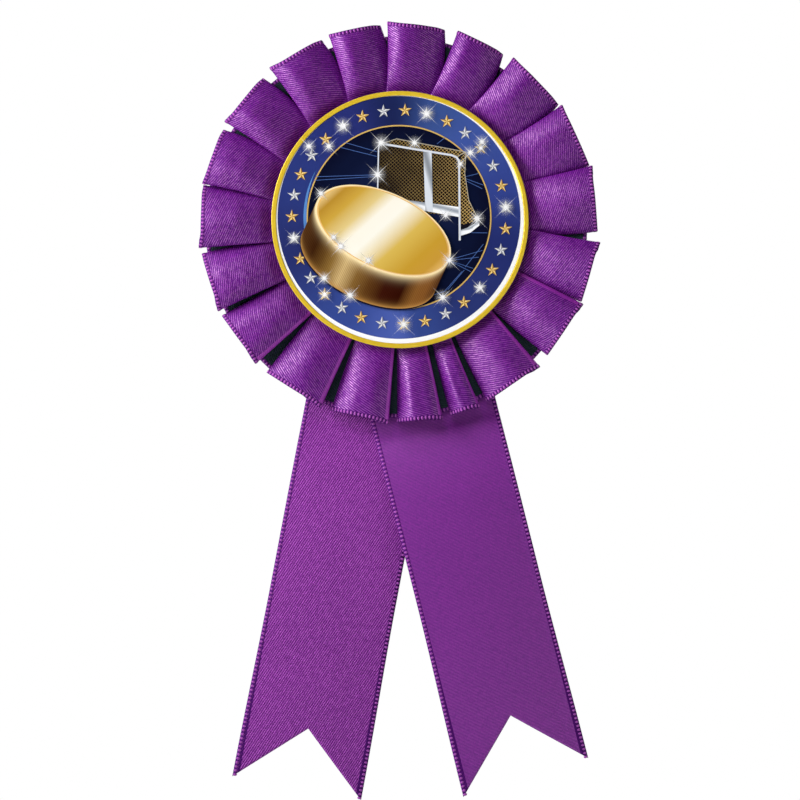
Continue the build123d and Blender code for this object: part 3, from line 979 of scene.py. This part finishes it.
def print_goal():
    """A plain goal: tube frame, hanging net, and a pale board along its foot."""
    net, side_net = net_ink("ink_net", -0.05), net_ink("ink_side_net", 0.28)
    board = shaded_ink("ink_board", srgb(150, 158, 168), srgb(244, 246, 249))
    strap = shaded_ink("ink_strap", srgb(136, 142, 150), srgb(212, 218, 226))
    tube = ink("ink_silver_tube", srgb(214, 218, 226))
    thin = ink("ink_net_cord", srgb(176, 168, 150))
    dark = ink("ink_goal_shade", srgb(16, 16, 26))
    top_left, top_right = (-4.3, 18.5), (13.2, 15.6)
    post_top = (15.1, 13.4)
    back_left, back_right = (-0.6, 19.7), (16.8, 16.4)
    toe = (19.8, -0.4)
    back_edge = [(16.8, 16.4), (16.5, 11.0), (17.5, 4.3), (19.8, -0.4)]
    goal = Print("print_goal", 8)
    goal.use(net)
    goal.slab([top_left, (-5.2, 17.2), (-5.4, 2.0), (15.1, 0.4), post_top, (14.7, 14.9), top_right])
    goal.use(side_net, layers_up=1.5)
    goal.slab([top_left, top_right, (14.7, 14.9), back_right, back_left])
    goal.slab([(15.1, 14.4), (15.1, -3.4), toe] + back_edge[-2::-1])
    goal.use(dark, layers_up=1.5)
    goal.slab([(15.2, -2.0), (15.2, -4.6), (18.6, -2.6), (19.4, -1.0)])
    goal.use(board, layers_up=1.5)
    goal.slab([(2.2, 4.3), (4.4, 2.0), (15.0, 0.1), (15.0, 2.6)], [(-1, 1), (-0.6, -1), (1, -1), (1, 1)])
    goal.slab(
        [(15.4, -4.7), (18.0, -3.8), (20.2, -2.0), (19.9, -0.3), (18.9, -1.6), (17.2, -2.6), (15.4, -3.2)],
        [(-1, -1), (0, -1), (1, -1), (1, 1), (0.6, 1), (0, 1), (-1, 1)],
    )
    goal.use(strap, layers_up=1.5)
    goal.slab([(6.1, 16.5), (6.6, 1.6), (8.5, 1.3), (8.2, 16.2)], [(-1, 1), (-1, -1), (1, -1), (1, 1)])
    goal.use(thin, layers_up=1.5)
    goal.path([top_left, back_left, back_right], 0.2)
    goal.path([back_right, (14.4, 15.2)], 0.2)
    goal.use(thin, layers_up=0.5).path(back_edge, 0.18)
    goal.use(tube, layers_up=1.5)
    goal.path([(-5.45, 2.2), (-5.15, 17.2), (-4.95, 18.0), (-4.3, 18.5)], 0.32)
    goal.use(tube, layers_up=0.2)
    goal.path([(-4.5, 18.5), top_right, (14.4, 15.1), (15.0, 14.3), post_top, (15.25, -5.8)], 0.52)
    goal.finish()


PUCK_CENTRE = np.array([-4.0, -3.35])
PUCK_LONG = 18.2
PUCK_SHORT = 9.6
PUCK_HEIGHT = 8.8
PUCK_TILT = math.radians(-24.5)


def puck_place(turn, drop=0.0, scale=1.0):
    """A place on the puck's rim, at an angle round it and dropped down its side."""
    long_way = np.array([math.cos(PUCK_TILT), math.sin(PUCK_TILT)])
    short_way = np.array([-math.sin(PUCK_TILT), math.cos(PUCK_TILT)])
    rim = scale * (PUCK_LONG * math.cos(turn) * long_way + PUCK_SHORT * math.sin(turn) * short_way)
    return PUCK_CENTRE + rim - drop * short_way


def print_puck():
    """A gold puck: knurled side, bright rim and a face with a broad gleam."""
    top, side = puck_top_ink("ink_puck_top"), puck_side_ink("ink_puck_side")
    rim = ink("ink_puck_rim", srgb(250, 226, 176))
    soft_rim = ink("ink_puck_soft_rim", srgb(228, 182, 104))
    shade = ink("ink_puck_shade", srgb(24, 24, 44))
    puck = Print("print_puck", 22)
    count = 60
    turns = [math.pi + math.pi * i / count for i in range(count + 1)]
    lower = [puck_place(t, PUCK_HEIGHT + 0.4) for t in turns]
    puck.use(shade)
    puck.slab([puck_place(turns[0])] + lower + [puck_place(turns[-1])])
    puck.use(side, layers_up=1.5)
    for a, b in zip(turns, turns[1:]):
        ua, ub = (1 + math.cos(a)) / 2, (1 + math.cos(b)) / 2
        corners = [puck_place(a), puck_place(a, PUCK_HEIGHT), puck_place(b, PUCK_HEIGHT), puck_place(b)]
        puck.slab(corners, [(ua, 1), (ua, 0), (ub, 0), (ub, 1)])
    around = [2 * math.pi * i / 96 for i in range(96)]
    for material, scale in ((rim, 1.0), (soft_rim, 0.972), (top, 0.95)):
        puck.use(material, layers_up=1.5)
        face = [puck_place(t, scale=scale) for t in around]
        gleam = np.array([0.67, -0.74])
        puck.slab(face, [(float(0.5 + (p - PUCK_CENTRE) @ gleam / (2 * PUCK_LONG)), 0.0) for p in face])
    puck.finish()


def print_glints():
    """Small white sparkles: a bright core in a faint halo, two long slanting rays and two short ones."""
    core = fading_ink("ink_core", 1.5, 1.5)
    halo = fading_ink("ink_halo", 0.32, 2.0)
    ray = fading_ink("ink_ray", 0.75, 1.6, ray=True)
    glints = Print("print_glints", 34)
    places = [(star_place(k), 1.0) for k in (1, 7, 15, 28)]
    places += [(star_place(k), 0.75) for k in (4, 11, 19, 22)]
    places += [(np.array(place), size) for place, size in (
        ((-22.6, 17.8), 0.8), ((-17.6, 17.8), 0.75), ((-4.5, 18.7), 1.0), ((-5.4, 10.7), 1.0),
        ((3.9, 18.7), 0.8), ((20.8, 18.9), 0.85), ((17.9, 16.2), 0.85), ((15.4, 13.4), 0.6),
        ((11.7, 0.5), 0.7), ((19.6, -0.3), 0.9), ((-18.8, -15.3), 0.8), ((-12.3, -19.6), 0.9),
        ((-7.7, -10.8), 0.8), ((-14.6, -7.3), 0.9), ((-16.4, -5.0), 0.7), ((12.6, -10.8), 0.9),
        ((11.0, -20.1), 0.9), ((-19.6, 6.0), 0.7),
    )]
    disc = [ring_place(-18 * i, 1.0) for i in range(20)]
    ray_uvs = [(1, 0), (0, -1), (-1, 0), (0, 1)]
    lowest = glints.depth
    for middle, size in places:
        glints.depth = lowest
        for ink_used, reach in ((halo, 2.7), (core, 1.0)):
            glints.use(ink_used, layers_up=0.1)
            glints.slab([middle + reach * size * p for p in disc], disc)
        for turn, reach, width in ((45, 5.0, 0.20), (135, 5.0, 0.20), (0, 2.4, 0.18), (90, 2.4, 0.18)):
            glints.use(ray, layers_up=0.1)
            arm = ring_place(turn, reach * size)
            side = ring_place(turn + 90, width / 2)
            glints.slab([middle + arm, middle - side, middle - arm, middle + side], ray_uvs)
    glints.finish()


# ---- looks of the CAD nodes that stay
def finish_cad_nodes():
    steel = metal("nickel_plate", srgb(206, 203, 196), 0.24)
    staple = metal("staple_wire", srgb(190, 190, 190), 0.3)
    grey_card = card("backing_card", srgb(226, 222, 212))
    white_foam = foam("white_foam", srgb(232, 230, 224))
    looks = {
        "insert_holder": gold_plastic("gold_plastic"),
        "insert_label": ink("gloss_paper", srgb(250, 250, 250), 0.3),
        "backing_disc": grey_card,
        "pleat_core": grey_card,
        "centre_pad": white_foam,
        "pin_pad": white_foam,
        "pleat_stitches": SATIN_EDGE,
        "streamer_staples": staple,
        "pin_bar": steel,
        "pin_rivet": steel,
        "pin_needle": steel,
        "pin_catch": steel,
    }
    for name, material in looks.items():
        node = frame["nodes"][name]
        node.data.materials.clear()
        node.data.materials.append(material)


# ---- floor, light and camera
PICTURE_SPAN = 0.2012
PICTURE_MIDDLE_Z = -0.0453
LENS = 135.0
SENSOR = 36.0


def area_light(name, place, target, size, power, mirrored=True):
    """A soft disc lamp. One that isn't mirrored lights surfaces without showing in their gloss."""
    light = bpy.data.lights.new(name, "AREA")
    light.shape = "DISK"
    light.size = size
    light.energy = power
    lamp = new_object(name, light)
    lamp.visible_glossy = mirrored
    lamp.location = place
    lamp.rotation_mode = "QUATERNION"
    lamp.rotation_quaternion = (Vector(target) - Vector(place)).to_track_quat("-Z", "Y")


def build_stage():
    mesh = bpy.data.meshes.new("floor")
    radius, low, count = 0.7, -0.26, 96
    turns = [2 * math.pi * i / count for i in range(count)]
    rim = [(radius * math.cos(turn), radius * math.sin(turn), low) for turn in turns]
    mesh.from_pydata(rim, [], [tuple(range(count))])
    floor = new_object("floor", mesh)
    n = Nodes("floor_paint")
    n.set(Base_Color=n.mix(n.noise(30.0), srgb(236, 236, 238), srgb(242, 242, 243)), Roughness=0.9)
    mesh.materials.append(n.material)

    world = bpy.data.worlds.new("studio")
    bpy.context.scene.world = world
    world.use_nodes = True
    tree = world.node_tree
    tree.nodes.clear()
    output = tree.nodes.new("ShaderNodeOutputWorld")
    mix = tree.nodes.new("ShaderNodeMixShader")
    path = tree.nodes.new("ShaderNodeLightPath")
    for slot, strength in ((1, 0.06), (2, 1.0)):
        background = tree.nodes.new("ShaderNodeBackground")
        background.inputs["Strength"].default_value = strength
        background.inputs["Color"].default_value = (1, 1, 1, 1)
        tree.links.new(background.outputs[0], mix.inputs[slot])
    tree.links.new(path.outputs["Is Camera Ray"], mix.inputs[0])
    tree.links.new(mix.outputs[0], output.inputs[0])

    aim = (0, 0, -0.02)
    area_light("front", (-0.10, -0.40, 0.25), aim, 0.12, 0.50, mirrored=False)
    area_light("top", (-0.06, -0.30, 0.42), aim, 0.14, 0.23)
    area_light("key", (-0.54, -0.22, 0.16), aim, 0.38, 5.95)
    area_light("fill", (0.50, -0.26, -0.02), aim, 0.20, 0.45)
    area_light("back_soft", (0.5, 0.9, 0.5), aim, 0.6, 5.0)


def build_camera():
    camera = bpy.data.cameras.new("camera")
    camera.lens = LENS
    camera.sensor_width = SENSOR
    camera.clip_start = 0.01
    camera.clip_end = 20
    holder = new_object("camera", camera)
    distance = PICTURE_SPAN * LENS / SENSOR
    holder.location = (0, -distance - HOLDER_BACK * MM, PICTURE_MIDDLE_Z)
    holder.rotation_euler = (math.pi / 2, 0, 0)
    bpy.context.scene.camera = holder
    bpy.context.scene.view_settings.view_transform = "Standard"


build_camera()
build_pleated_ring()
for streamer, facts in STREAMERS.items():
    build_streamer(streamer, facts)
print_grounds()
print_stars()
print_beams()
print_goal()
print_puck()
print_glints()
finish_cad_nodes()
build_stage()
